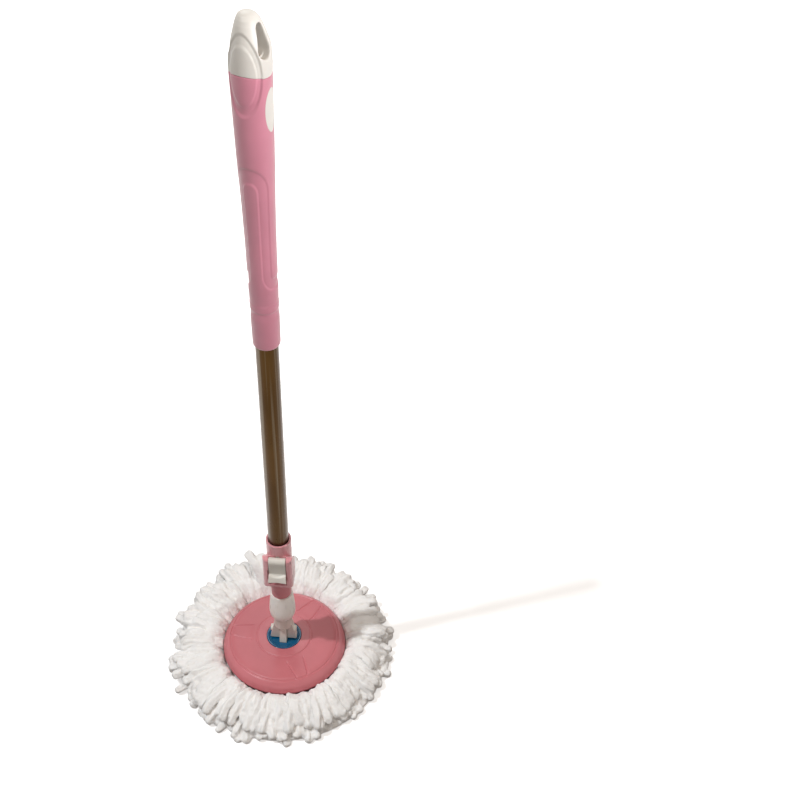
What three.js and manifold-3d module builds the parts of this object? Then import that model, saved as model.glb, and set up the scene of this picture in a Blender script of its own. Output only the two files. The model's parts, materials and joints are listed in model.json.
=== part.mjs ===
// A spin mop with a hand-pressed handle: a yarn refill clipped under a domed plate, a tilting
// fork, and a telescopic handle whose twisted rod drives the head round as it is pressed down.
// Millimetres, +Z up, origin on the floor under the middle of the head, lock lever towards -Y.
// It stands with the handle pushed fully down.
import * as THREE from 'three';
import { mergeVertices } from 'three/addons/utils/BufferGeometryUtils.js';
import Module from 'manifold-3d';

const wasm = await Module();
wasm.setup();

// Driving dimensions
const GAP = 0.3;
const YARN_RADIUS = 145;
const BUNDLES = 20;
const RING = { inner: 40.5, outer: 76.5, bottom: 17, top: 20 };
const PLATE = { radius: 80, top: 45, rimBottom: 26.5, wall: 2.2, baseBottom: 14 };
const HUB_RADIUS = 22.4;
const SCREW_CIRCLE = 17;
const SCREWS = 3;
const PIN_HEIGHT = 59.5;
const TONGUE = { half: 4.5, depth: 11.3, topRadius: 7.5 };
const EAR = { inner: 5, foot: 17, shoulder: 12.3, depth: 4.7, bottom: 45 };
const NECK = { radius: 11.75, bottom: 69.3, top: 88, shank: 9.9, shankTop: 160 };
const FERRULE = { radius: 12.7, bottom: 133.5, top: 168.2, screwHeight: 146 };
const INNER_TUBE = { radius: 11, wall: 0.7, bottom: 134, top: 600 };
const OUTER_TUBE = { radius: 12.5, wall: 0.5, bottom: 222.3, top: 876 };
const BORE = OUTER_TUBE.radius - OUTER_TUBE.wall;
const STROKE = 280;
const PITCH = STROKE / 3;
const ROD = { width: 6, thickness: 2.5, top: 868, stepsPerTurn: 26 };
const ROD_BOTTOM = INNER_TUBE.top - STROKE - 20.5;
const NUT = { bottom: INNER_TUBE.top + 9.9, top: INNER_TUBE.top + 23, radius: 8.8 };
const ROD_BORE = 4.6;
const ANCHOR = { bottom: 850, top: 873, pinHeight: 861 };
const COLLAR = {
  radius: 15.5, bottom: 168.7, top: 236, bore: 14.2, half: 19.2, front: 22.5, shoulder: 219.5,
};
const PIVOT = { y: -18.9, z: 214.5, cam: 4.7, pin: 1.5 };
const LEVER = { half: 10.6, tabHalf: 11.6 };
const CHANNEL = { half: LEVER.half + GAP, floor: 174, pocketHalf: 12.4 };
const GRIP = { bottom: 551, top: 880, inner: OUTER_TUBE.radius + GAP };
const GRIP_TURN = THREE.MathUtils.degToRad(-17.5);
const CAP_TOP = 933;
const BADGE = { half: 8.5, tall: 21.5, height: 841.5, depth: 1.5 };

// Materials
function plastic(color, roughness = 0.45) {
  return new THREE.MeshStandardMaterial({ color, roughness, metalness: 0 });
}

function metal(color, roughness = 0.3) {
  return new THREE.MeshStandardMaterial({ color, roughness, metalness: 1 });
}

const MATERIAL = {
  pink: plastic(0xdf9fb0),
  rose: plastic(0xc56f78, 0.55),
  white: plastic(0xe6e1d6),
  black: plastic(0x17181a),
  blue: plastic(0x00648c, 0.2),
  nylon: plastic(0xded8cc, 0.35),
  yarn: plastic(0xf1efec, 1),
  steel: metal(0x9a8f84),
  bright: metal(0xb8b8b8),
  spring: metal(0x8c8c90),
};

// Solids
function solid(geometry) {
  const bare = geometry.index ? geometry.clone() : geometry;
  bare.deleteAttribute('normal');
  bare.deleteAttribute('uv');
  const merged = mergeVertices(bare, 1e-4);
  const vertProperties = new Float32Array(merged.attributes.position.array);
  const triVerts = new Uint32Array(merged.index.array);
  if (signedVolume(vertProperties, triVerts) < 0) {
    for (let i = 0; i < triVerts.length; i += 3) {
      [triVerts[i + 1], triVerts[i + 2]] = [triVerts[i + 2], triVerts[i + 1]];
    }
  }
  return new wasm.Manifold(new wasm.Mesh({ numProp: 3, vertProperties, triVerts }));
}

function signedVolume(points, triangles) {
  const corner = (i) => new THREE.Vector3().fromArray(points, 3 * triangles[i]);
  let sum = 0;
  for (let i = 0; i < triangles.length; i += 3) {
    sum += corner(i).dot(corner(i + 1).cross(corner(i + 2)));
  }
  return sum / 6;
}

function cut(body, ...tools) {
  return tools.reduce((rest, tool) => rest.subtract(tool), body);
}

function join(body, ...others) {
  return others.reduce((sum, other) => sum.add(other), body);
}

// A turned shape from [radius, height] points. A ring's outline closes on itself.
function turned(outline, segments = 32) {
  const points = outline.map(([radius, height]) => new THREE.Vector2(radius, height));
  const onAxis = outline[0][0] === 0 && outline.at(-1)[0] === 0;
  if (!onAxis) {
    points.push(points[0].clone());
  }
  return solid(new THREE.LatheGeometry(points, segments).rotateX(Math.PI / 2));
}

function ring(inner, outer, bottom, top, segments = 32) {
  return turned([[inner, bottom], [outer, bottom], [outer, top], [inner, top]], segments);
}

function disc(radius, bottom, top, segments = 24) {
  return turned([[0, bottom], [radius, bottom], [radius, top], [0, top]], segments);
}

function box(x, y, z) {
  const geometry = new THREE.BoxGeometry(x[1] - x[0], y[1] - y[0], z[1] - z[0]);
  geometry.translate((x[0] + x[1]) / 2, (y[0] + y[1]) / 2, (z[0] + z[1]) / 2);
  return solid(geometry);
}

// A round bar along X or Y, through (x or y from..to) at the given cross position.
function bar(axis, radius, from, to, across, z, segments = 12) {
  const geometry = new THREE.CylinderGeometry(radius, radius, to - from, segments);
  const middle = (from + to) / 2;
  if (axis === 'x') {
    geometry.rotateZ(Math.PI / 2).translate(middle, across, z);
  } else {
    geometry.translate(across, middle, z);
  }
  return solid(geometry);
}

// A flat outline pushed along an axis. 'x' reads it as [y, z], 'y' as [x, z], 'z' as [x, y].
function prism(outline, axis, from, to) {
  const shape = new THREE.Shape(outline.map(([a, b]) => new THREE.Vector2(a, b)));
  const geometry = new THREE.ExtrudeGeometry(shape, { depth: to - from, bevelEnabled: false });
  if (axis === 'x') {
    geometry.rotateX(Math.PI / 2).rotateZ(Math.PI / 2).translate(from, 0, 0);
  } else if (axis === 'y') {
    geometry.rotateX(Math.PI / 2).translate(0, to, 0);
  } else {
    geometry.translate(0, 0, from);
  }
  return solid(geometry);
}

// Points of an arc about (a, b), in degrees.
function arc(a, b, radius, from, to, steps) {
  return Array.from({ length: steps + 1 }, (_, i) => {
    const angle = THREE.MathUtils.degToRad(from + ((to - from) * i) / steps);
    return [a + radius * Math.cos(angle), b + radius * Math.sin(angle)];
  });
}

// A closed mesh through rings of points, capped by the triangles of their flat outline.
function skin(rings, outline) {
  const count = outline.length;
  const index = [];
  for (let r = 0; r + 1 < rings.length; r += 1) {
    for (let i = 0; i < count; i += 1) {
      const a = r * count + i;
      const b = r * count + ((i + 1) % count);
      index.push(a, b, b + count, a, b + count, a + count);
    }
  }
  const last = (rings.length - 1) * count;
  const flat = outline.map(([a, b]) => new THREE.Vector2(a, b));
  for (const [a, b, c] of THREE.ShapeUtils.triangulateShape(flat, [])) {
    index.push(a, c, b, last + a, last + b, last + c);
  }
  const geometry = new THREE.BufferGeometry();
  geometry.setAttribute('position', new THREE.Float32BufferAttribute(rings.flat(2), 3));
  geometry.setIndex(index);
  return solid(geometry);
}

// Oval sections [height, half-width in x, half-width in y], from the bottom up.
function oval(sections, segments = 24) {
  const circle = arc(0, 0, 1, 0, 360, segments).slice(0, -1);
  const rings = sections.map(([z, x, y]) => circle.map(([a, b]) => [a * x, b * y, z]));
  return skin(rings, circle);
}

// The drive rod is a flat bar that turns once per pitch. A margin grows it into its own slot.
function twistedBar(bottom, top, margin = 0) {
  const x = ROD.thickness / 2 + margin;
  const y = ROD.width / 2 + margin;
  const corners = [[-x, -y], [x, -y], [x, y], [-x, y]];
  const step = PITCH / ROD.stepsPerTurn;
  const heights = [bottom];
  for (let k = Math.floor(bottom / step + 1.01); k * step < top - 0.01; k += 1) {
    heights.push(k * step);
  }
  heights.push(top);
  const rings = heights.map((z) => {
    const angle = (2 * Math.PI * (z - ANCHOR.pinHeight)) / PITCH;
    return corners.map(([a, b]) => [
      a * Math.cos(angle) - b * Math.sin(angle),
      a * Math.sin(angle) + b * Math.cos(angle),
      z,
    ]);
  });
  return skin(rings, corners);
}

// The refill: a flat ring and bundles of yarn that fan out from under it
function refillRing() {
  return ring(RING.inner, RING.outer, RING.bottom, RING.top, 32);
}

function yarnBundle(index) {
  const underRing = RING.bottom - GAP;
  const profile = [
    [46, 0], [140, 0], [YARN_RADIUS, 3], [143, 9], [134, 18], [118, 27], [100, 31.5],
    [88, 29], [82.5, 22], [81.5, underRing], [46, underRing],
  ];
  const pitch = (2 * Math.PI) / BUNDLES;
  const rings = [-0.5, 0, 0.5].map((share) => profile.map(([radius, z]) => {
    const angle = pitch * (index + share) - (share * 2 * GAP) / radius;
    return [radius * Math.cos(angle), radius * Math.sin(angle), z];
  }));
  return skin(rings, profile);
}

// The plate: a domed cover over a base, with the hub and the tongue screwed between them
function onScrewCircle(makeTool) {
  return Array.from({ length: SCREWS }, (_, i) => {
    const angle = Math.PI / 2 + (2 * Math.PI * i) / SCREWS;
    const at = [SCREW_CIRCLE * Math.cos(angle), SCREW_CIRCLE * Math.sin(angle), 0];
    return makeTool().translate(at);
  });
}

function plateCover() {
  const { radius, top, rimBottom, wall } = PLATE;
  const hole = HUB_RADIUS + 0.4;
  return turned([
    [hole, top - wall], [hole, top], [34.6, top], [35.6, top - 0.6], [66, top - 2.6],
    [72, top - 4.8], [77, top - 9.5], [radius, top - 17], [radius, rimBottom],
    [radius - wall, rimBottom], [radius - wall, top - 17], [75, top - 10.8],
    [71, top - 6.9], [65.5, top - 4.9],
  ], 32);
}

function plateBase() {
  const { baseBottom, radius, wall } = PLATE;
  const bossRadius = RING.inner - 0.5;
  const lip = radius - wall - 0.5;
  const shell = turned([
    [0, baseBottom], [bossRadius, baseBottom], [bossRadius, RING.top + GAP],
    [lip, RING.top + GAP], [lip, 27], [lip - 2.4, 27], [lip - 2.4, 23], [26, 23], [26, 38], [0, 38],
  ], 32);
  const flangeSeat = disc(13.4, 33.7, 39);
  const basketSocket = disc(11, baseBottom - 1, 22);
  const bores = onScrewCircle(() => disc(2.1, baseBottom - 1, 39, 10));
  const pockets = onScrewCircle(() => disc(4.3, baseBottom - 1, 17, 12));
  return cut(shell, flangeSeat, basketSocket, ...bores, ...pockets);
}

function plateHub() {
  const dish = turned([
    [0, 38.3], [21, 38.3], [21, 42.2], [HUB_RADIUS, 42.2], [HUB_RADIUS, 45.4],
    [20.8, 45.4], [18.6, 43], [0, 43],
  ]);
  const slot = box([-4.8, 4.8], [-TONGUE.depth - GAP, TONGUE.depth + GAP], [38, 44]);
  return cut(dish, slot, ...onScrewCircle(() => disc(2.1, 38, 41.5, 10)));
}

function hubPost() {
  const { half, depth, topRadius } = TONGUE;
  const side = [[-depth, 37], [depth, 37], [depth, 43.5], ...arc(0, PIN_HEIGHT, topRadius, 10, 170, 10),
    [-depth, 43.5]];
  const flange = disc(13, 34, 38);
  return cut(
    join(flange, prism(side, 'x', -half, half)),
    bar('x', 2.3, -half - 1, half + 1, 0, PIN_HEIGHT),
  );
}

function plateScrew() {
  return turned([[0, 14.5], [3.4, 14.5], [4, 15.2], [4, 16.7], [1.8, 16.7], [1.8, 40], [0, 41.2]], 10);
}

// The spindle: the tilting fork, its sleeves and the inner tube that it carries
function fork() {
  const { radius, bottom, top, shank, shankTop } = NECK;
  const stem = turned([
    [0, bottom], [radius, bottom], [radius, top], [shank, top], [shank, shankTop], [0, shankTop],
  ]);
  const ears = [-1, 1].map((side) => prism([
    [side * EAR.inner, EAR.bottom], [side * EAR.foot, EAR.bottom],
    [side * EAR.shoulder, bottom + 1.2], [side * EAR.inner, bottom + 1.2],
  ], 'y', -EAR.depth, EAR.depth));
  const bosses = [-1, 1].map((side) => (
    bar('x', 4.5, Math.min(side * 8, side * 16.6), Math.max(side * 8, side * 16.6), 0, PIN_HEIGHT)));
  const pinBore = bar('x', 2.3, -20, 20, 0, PIN_HEIGHT);
  const screwBore = bar('y', 1.9, 5, 15, 0, FERRULE.screwHeight, 10);
  return cut(join(stem, ...ears, ...bosses), pinBore, screwBore);
}

function hingePin() {
  return bar('x', 2, -16.3, 16.3, 0, PIN_HEIGHT);
}

function bulbSleeve() {
  const inner = NECK.shank + GAP;
  return turned([
    [inner, 88.3], [11.9, 88.3], [14.2, 90.6], [16.1, 95], [16.7, 100], [16.4, 107],
    [15.6, 117], [14.7, 126], [14, 133], [inner, 133],
  ], 24);
}

function ferrule() {
  const { radius, bottom, top, screwHeight } = FERRULE;
  const inner = INNER_TUBE.radius + GAP;
  const sleeve = turned([
    [inner, bottom], [radius - 0.8, bottom], [radius, bottom + 1], [radius, top], [inner, top],
  ]);
  return cut(sleeve, bar('y', 1.9, 5, 15, 0, screwHeight, 10));
}

function ferruleScrew() {
  const shank = bar('y', 1.5, 6, 13.4, 0, FERRULE.screwHeight, 10);
  return join(shank, bar('y', 3, 13.1, 14.6, 0, FERRULE.screwHeight, 12));
}

function innerTube() {
  const { radius, wall, bottom, top } = INNER_TUBE;
  return cut(
    ring(radius - wall, radius, bottom, top, 24),
    bar('y', 1.9, 5, 15, 0, FERRULE.screwHeight, 10),
  );
}

function topBush() {
  const { top } = INNER_TUBE;
  return turned([
    [ROD_BORE, top - 12], [9.9, top - 12], [9.9, top + GAP], [BORE - GAP, top + GAP],
    [BORE - GAP, top + 4], [ROD_BORE, top + 4],
  ], 24);
}

// Saw teeth that stand up from height z, or hang down from it.
function sawTeeth(z, tall, up) {
  const teeth = 8;
  const sign = up ? 1 : -1;
  const root = z - sign * 0.5;
  return Array.from({ length: teeth }, (_, i) => (
    prism([[-2, root], [2, root], [2, z], [sign * 1.4, z + sign * tall], [-2, z]], 'x', 5.4, 8.2)
      .rotate([0, 0, (360 * i) / teeth])));
}

function lowerRatchet() {
  const bottom = INNER_TUBE.top + 4 + GAP;
  return join(ring(ROD_BORE, 8.6, bottom, bottom + 2.2, 24), ...sawTeeth(bottom + 2.2, 1.4, true));
}

function nutCage() {
  const bottom = INNER_TUBE.top + 4 + GAP;
  const top = INNER_TUBE.top + 32;
  return turned([
    [9.4, bottom], [BORE - GAP, bottom], [BORE - GAP, top], [5.6, top], [5.6, top - 2.4],
    [9.4, top - 2.4],
  ], 24);
}

// The nut that the rod turns, and the spring that holds its teeth down
function driveNut() {
  const body = join(disc(NUT.radius, NUT.bottom, NUT.top), ...sawTeeth(NUT.bottom, 1.4, false));
  return cut(body, twistedBar(NUT.bottom - 3, NUT.top + 1, 0.5));
}

class Helix extends THREE.Curve {
  constructor(radius, bottom, top, turns) {
    super();
    Object.assign(this, { radius, bottom, top, turns });
  }

  getPoint(t, target = new THREE.Vector3()) {
    const angle = 2 * Math.PI * this.turns * t;
    const z = this.bottom + (this.top - this.bottom) * t;
    return target.set(this.radius * Math.cos(angle), this.radius * Math.sin(angle), z);
  }
}

function clutchSpring() {
  const wire = arc(0, 0, 0.5, 0, 360, 5).slice(0, -1).map(([a, b]) => new THREE.Vector2(a, b));
  const path = new Helix(7, NUT.top + 0.9, INNER_TUBE.top + 28.7, 2.5);
  return solid(new THREE.ExtrudeGeometry(new THREE.Shape(wire), { steps: 30, extrudePath: path }));
}

// The handle: the outer tube with the rod in it, the grip, the cap and the clamping collar
function guideRing() {
  return ring(INNER_TUBE.radius + GAP, COLLAR.bore - GAP, COLLAR.bottom + 1.5, 178, 24);
}

function outerTube() {
  const { radius, bottom, top } = OUTER_TUBE;
  return cut(
    ring(BORE, radius, bottom, top),
    bar('x', 1.8, -15, 15, 0, ANCHOR.pinHeight, 10),
  );
}

function twistedRod() {
  return cut(
    twistedBar(ROD_BOTTOM, ROD.top),
    bar('x', 1.6, -5, 5, 0, ANCHOR.pinHeight, 8),
  );
}

function rodStop() {
  return cut(
    disc(8, ROD_BOTTOM, ROD_BOTTOM + 8, 20),
    twistedBar(ROD_BOTTOM - 1, ROD_BOTTOM + 9, GAP),
  );
}

function rodAnchor() {
  return cut(
    disc(BORE - GAP, ANCHOR.bottom, ANCHOR.top),
    twistedBar(ANCHOR.bottom - 1, ROD.top + 1, GAP),
    bar('x', 1.8, -15, 15, 0, ANCHOR.pinHeight, 10),
  );
}

function anchorPin() {
  return bar('x', 1.3, -12.3, 12.3, 0, ANCHOR.pinHeight, 8);
}

// Outer radius of the grip from its lower end to the cap
const GRIP_OUTLINE = [
  [14.1, 551], [14.7, 552.5], [14.9, 560], [15.1, 581], [15.2, 596.5], [15.9, 600], [15.9, 605.5],
  [15.3, 609], [15.4, 634], [15.8, 684], [16.7, 732], [18.15, 778], [19.1, 822], [20, 872], [20.1, 880],
];

function badgeCutter(side, margin) {
  const outline = arc(0, 0, 1, 0, 360, 20).slice(0, -1).map(([a, b]) => [
    a * (BADGE.half + margin), BADGE.height + b * (BADGE.tall + margin)]);
  return prism(outline, 'x', Math.min(side * 12, side * 22), Math.max(side * 12, side * 22));
}

function gripBody(inset) {
  const outline = GRIP_OUTLINE.map(([radius, z]) => [radius - inset, z]);
  return turned([[GRIP.inner, GRIP.bottom], ...outline, [GRIP.inner, GRIP.top]], 24);
}

function gripCore(inset) {
  const outline = GRIP_OUTLINE.map(([radius, z]) => [radius - inset, z]);
  return turned([[0, GRIP.bottom], ...outline, [0, GRIP.top]], 24);
}

function grip() {
  const pockets = [-1, 1].map((side) => (
    cut(badgeCutter(side, GAP), gripCore(BADGE.depth + 0.4 + GAP))));
  return cut(gripBody(0), ...pockets);
}

function badge(side) {
  const shell = cut(gripCore(0.4), gripCore(BADGE.depth + 0.4));
  return badgeCutter(side, 0).intersect(shell);
}

function endCap() {
  const bottom = GRIP.top + GAP;
  const shell = oval([
    [bottom, 20.1, 20.1], [896, 19.3, 19.8], [907, 17.4, 18.7], [918, 13.6, 16.2],
    [925, 10.8, 13.4], [930, 7.6, 9.6], [CAP_TOP, 3, 4],
  ]);
  const plug = disc(BORE - 0.4, ANCHOR.top + 0.4, bottom + 1);
  const eye = prism([...arc(0, 904, 9, 190, 350, 8), ...arc(0, 918, 7, 10, 170, 8)], 'x', -25, 25);
  return cut(join(shell, plug), eye);
}

function collar() {
  const { radius, bottom, top, bore, half, front, shoulder } = COLLAR;
  const sleeve = disc(radius, bottom, top, 32);
  const side = [[-front, bottom], [-front, shoulder - 3], [-front + 3, shoulder], [-15, shoulder],
    [-2, 207], [3, 200], [3, bottom]];
  const plan = [[-half, 3], [-half, -front + 4], [-half + 4, -front], [half - 4, -front],
    [half, -front + 4], [half, 3]];
  const block = prism(side, 'x', -half, half).intersect(prism(plan, 'z', 150, 240));
  const channel = box([-CHANNEL.half, CHANNEL.half], [-30, -radius], [CHANNEL.floor, 240]);
  const fingerPockets = box([-CHANNEL.pocketHalf, CHANNEL.pocketHalf], [-30, -radius], [182, 201]);
  const window = box([-CHANNEL.half, CHANNEL.half], [-30, PIVOT.y + PIVOT.cam], [207, 221]);
  const tubeBore = disc(OUTER_TUBE.radius + GAP, bottom + 30, top + 1, 32);
  const colletBore = disc(bore, bottom + 1.2, OUTER_TUBE.bottom - GAP, 32);
  const lipBore = disc(INNER_TUBE.radius + 0.6, bottom - 1, bottom + 5, 32);
  const pinBore = bar('x', PIVOT.pin + GAP, -17, 17, PIVOT.y, PIVOT.z);
  return cut(
    join(sleeve, cut(block, channel, fingerPockets)),
    window, tubeBore, colletBore, lipBore, pinBore,
  );
}

function clampCollet() {
  const sleeve = ring(INNER_TUBE.radius + 0.4, COLLAR.bore - GAP, 196, OUTER_TUBE.bottom - 2 * GAP);
  return cut(sleeve, box([-1, 1], [5, 20], [190, 230]));
}

function leverPin() {
  return bar('x', PIVOT.pin, -16.6, 16.6, PIVOT.y, PIVOT.z);
}

// A cam head on the pin, a flat face and a thumb tab that flares out and a little wider
function lockLever() {
  const { y, z, cam, pin } = PIVOT;
  const side = [...arc(y, z, cam, 180, 0, 8), [y + 2.6, 207], [y - 0.6, 200], [-20.6, 193],
    [-24.6, 184.2], [-27.2, 181.8], [-28.6, 183.6], [-24.4, 192.5], [-23.6, 199]];
  const { half, tabHalf } = LEVER;
  const front = [[-half, 225], [-half, 191], [-tabHalf, 183], [-tabHalf, 180], [tabHalf, 180],
    [tabHalf, 183], [half, 191], [half, 225]];
  const plate = prism(side, 'x', -15, 15).intersect(prism(front, 'y', -30, -10));
  return cut(plate, bar('x', pin + GAP, -15, 15, y, z));
}

// The assembly
const mop = new THREE.Group();
const turnedGrip = new THREE.Group();
turnedGrip.rotation.z = GRIP_TURN;
mop.add(turnedGrip);

function place(name, manifold, material, group = mop) {
  const { vertProperties, triVerts } = manifold.getMesh();
  const geometry = new THREE.BufferGeometry();
  geometry.setAttribute('position', new THREE.BufferAttribute(vertProperties, 3));
  geometry.setIndex(new THREE.BufferAttribute(triVerts, 1));
  geometry.computeVertexNormals();
  const mesh = new THREE.Mesh(geometry, material);
  mesh.name = name;
  group.add(mesh);
}

place('refill_ring', refillRing(), MATERIAL.black);
for (let i = 0; i < BUNDLES; i += 1) {
  place(`yarn_bundle_${String(i + 1).padStart(2, '0')}`, yarnBundle(i), MATERIAL.yarn);
}

place('plate_cover', plateCover(), MATERIAL.rose);
place('plate_base', plateBase(), MATERIAL.rose);
place('plate_hub', plateHub(), MATERIAL.blue);
place('hub_post', hubPost(), MATERIAL.white);
onScrewCircle(plateScrew).forEach((screw, i) => place(`plate_screw_${i + 1}`, screw, MATERIAL.bright));

place('fork', fork(), MATERIAL.white);
place('hinge_pin', hingePin(), MATERIAL.bright);
place('bulb_sleeve', bulbSleeve(), MATERIAL.nylon);
place('ferrule', ferrule(), MATERIAL.rose);
place('ferrule_screw', ferruleScrew(), MATERIAL.bright);
place('inner_tube', innerTube(), MATERIAL.bright);
place('top_bush', topBush(), MATERIAL.nylon);
place('lower_ratchet', lowerRatchet(), MATERIAL.nylon);
place('nut_cage', nutCage(), MATERIAL.white);

place('drive_nut', driveNut(), MATERIAL.nylon);
place('clutch_spring', clutchSpring(), MATERIAL.spring);
place('guide_ring', guideRing(), MATERIAL.white);

place('outer_tube', outerTube(), MATERIAL.steel);
place('twisted_rod', twistedRod(), MATERIAL.bright);
place('rod_stop', rodStop(), MATERIAL.nylon);
place('rod_anchor', rodAnchor(), MATERIAL.white);
place('anchor_pin', anchorPin(), MATERIAL.bright);
place('grip', grip(), MATERIAL.pink, turnedGrip);
place('end_cap', endCap(), MATERIAL.white, turnedGrip);
place('badge_left', badge(-1), MATERIAL.white, turnedGrip);
place('badge_right', badge(1), MATERIAL.white, turnedGrip);
place('collar', collar(), MATERIAL.pink);
place('clamp_collet', clampCollet(), MATERIAL.white);
place('lever_pin', leverPin(), MATERIAL.bright);
place('lock_lever', lockLever(), MATERIAL.white);

export default mop;
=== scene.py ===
"""Looks for the spin mop: detailed pieces, procedural materials, lights and camera around the CAD frame.

Lengths in the shape code are millimetres in the CAD's own frame, and MM turns them into metres.
"""

import json
import math
from collections import namedtuple

import bmesh
import bpy
import numpy as np
from mathutils import Matrix, Vector

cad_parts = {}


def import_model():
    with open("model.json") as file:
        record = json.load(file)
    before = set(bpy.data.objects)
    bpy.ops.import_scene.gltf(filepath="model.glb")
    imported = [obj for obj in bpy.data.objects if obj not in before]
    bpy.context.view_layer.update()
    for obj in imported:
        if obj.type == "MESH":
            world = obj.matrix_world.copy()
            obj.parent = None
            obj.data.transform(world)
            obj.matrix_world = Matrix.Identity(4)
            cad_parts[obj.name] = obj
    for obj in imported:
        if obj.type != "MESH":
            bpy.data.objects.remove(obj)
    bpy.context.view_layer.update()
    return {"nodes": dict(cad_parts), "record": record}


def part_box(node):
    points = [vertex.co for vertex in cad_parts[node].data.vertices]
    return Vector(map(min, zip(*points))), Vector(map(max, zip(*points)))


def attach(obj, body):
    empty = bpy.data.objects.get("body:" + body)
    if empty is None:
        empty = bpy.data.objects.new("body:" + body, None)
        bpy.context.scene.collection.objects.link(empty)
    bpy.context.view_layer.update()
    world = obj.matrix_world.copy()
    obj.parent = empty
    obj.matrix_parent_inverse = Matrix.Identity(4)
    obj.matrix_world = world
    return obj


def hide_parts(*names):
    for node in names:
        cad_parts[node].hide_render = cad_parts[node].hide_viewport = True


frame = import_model()

MM = 0.001
BUNDLES = 20


# ---- measures read from the frame
def low(node):
    """The node's lowest corner in millimetres."""
    return np.array(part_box(node)[0]) / MM


def high(node):
    """The node's highest corner in millimetres."""
    return np.array(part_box(node)[1]) / MM


def ends(node):
    """Heights of the node's foot and top."""
    return low(node)[2], high(node)[2]


# ---- mesh helpers
def new_object(name, vertices, faces, smooth=True):
    """A mesh object from vertices in millimetres and lists of corner numbers."""
    mesh = bpy.data.meshes.new(name)
    mesh.from_pydata((np.asarray(vertices, float) * MM).tolist(), [], faces)
    mesh.validate()
    mesh.update()
    piece = bpy.data.objects.new(name, mesh)
    bpy.context.scene.collection.objects.link(piece)
    outward(piece)
    mesh.polygons.foreach_set("use_smooth", [smooth] * len(mesh.polygons))
    return piece


def outward(piece):
    """Turns every face to point out of the closed mesh."""
    work = bmesh.new()
    work.from_mesh(piece.data)
    bmesh.ops.recalc_face_normals(work, faces=work.faces)
    work.to_mesh(piece.data)
    work.free()


def settle(piece):
    """Applies the piece's modifiers to its mesh."""
    graph = bpy.context.evaluated_depsgraph_get()
    mesh = bpy.data.meshes.new_from_object(piece.evaluated_get(graph))
    piece.modifiers.clear()
    piece.data = mesh
    mesh.polygons.foreach_set("use_smooth", [True] * len(mesh.polygons))
    return piece


def sharpen(piece, degrees=35):
    """Keeps edges sharper than the angle crisp in the smooth shading."""
    piece.data.set_sharp_from_angle(angle=math.radians(degrees))
    return piece


def quad_grid(rows, columns, wrap_rows=False):
    """Corner numbers of a tube of quads whose vertices are stored row by row."""
    row = np.arange(rows if wrap_rows else rows - 1)[:, None]
    column = np.arange(columns)[None, :]
    next_row = (row + 1) % rows
    next_column = (column + 1) % columns
    corners = np.broadcast_arrays(row * columns + column, row * columns + next_column,
                                  next_row * columns + next_column, next_row * columns + column)
    return np.stack(corners, -1).reshape(-1, 4).tolist()


def closed_grid(rows, columns):
    """Faces of a tube of points stored row by row, with a lid at each end."""
    last = (rows - 1) * columns
    lids = [list(range(columns))[::-1], list(range(last, last + columns))]
    return quad_grid(rows, columns) + lids


def turned(name, outline, segments=96, degrees=35):
    """A turned piece. The outline is [radius, height] points, on the axis at both ends or closed."""
    points = np.array(outline, float)
    solid = points[0, 0] == 0 and points[-1, 0] == 0
    body = points[1:-1] if solid else points
    angle = np.linspace(0, 2 * np.pi, segments, endpoint=False)
    vertices = polar(body[:, :1], angle, np.repeat(body[:, 1:], segments, 1)).reshape(-1, 3)
    faces = quad_grid(len(body), segments, wrap_rows=not solid)
    if solid:
        vertices = np.vstack([vertices, [0, 0, points[0, 1]], [0, 0, points[-1, 1]]])
        bottom, top = len(vertices) - 2, len(vertices) - 1
        last = (len(body) - 1) * segments
        for i in range(segments):
            j = (i + 1) % segments
            faces += [[bottom, j, i], [top, last + i, last + j]]
    return sharpen(new_object(name, vertices, faces), degrees)


def rounded(outline, radius, steps=5, closed=True):
    """The outline with its corners rounded, by a point's own third number or else by the radius."""
    points = [np.array(p[:2], float) for p in outline]
    radii = [p[2] if len(p) > 2 else radius for p in outline]
    out = []
    count = len(points)
    for i, corner in enumerate(points):
        if not closed and i in (0, count - 1):
            out.append(corner)
            continue
        before = points[i - 1] - corner
        after = points[(i + 1) % count] - corner
        reach = min(radii[i], 0.45 * np.linalg.norm(before), 0.45 * np.linalg.norm(after))
        start = corner + before / np.linalg.norm(before) * reach
        end = corner + after / np.linalg.norm(after) * reach
        for t in np.linspace(0, 1, steps):
            out.append((1 - t) ** 2 * start + 2 * t * (1 - t) * corner + t * t * end)
    return [list(p) for p in out]


def rectangle(left, right, bottom, top):
    return [[left, bottom], [right, bottom], [right, top], [left, top]]


def arc(a, b, radius, start, end, steps):
    """Points of an arc about (a, b), in degrees."""
    angles = np.radians(np.linspace(start, end, steps + 1))
    return [[a + radius * math.cos(t), b + radius * math.sin(t)] for t in angles]


def prism(outline, axis, start, end, name="prism"):
    """A flat outline pushed along an axis: 'x' reads it as [y, z], 'y' as [x, z], 'z' as [x, y]."""
    order = {"x": (2, 0, 1), "y": (0, 2, 1), "z": (0, 1, 2)}[axis]
    count = len(outline)
    flat = [[p[0], p[1], start] for p in outline] + [[p[0], p[1], end] for p in outline]
    vertices = np.array(flat, float)[:, order]
    sides = [[i, (i + 1) % count, count + (i + 1) % count, count + i] for i in range(count)]
    faces = sides + [list(range(count))[::-1], list(range(count, 2 * count))]
    return new_object(name, vertices, faces, smooth=False)


def rod_shape(axis, radius, start, end, across, z):
    """A round bar along X or Y at a cross position."""
    return prism(arc(across, z, radius, 0, 360, 48)[:-1], axis, start, end)


def cylinder(radius, bottom, top, segments, name="cylinder"):
    """A plain round bar up the Z axis."""
    return turned(name, rectangle(0, radius, bottom, top), segments)


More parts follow.
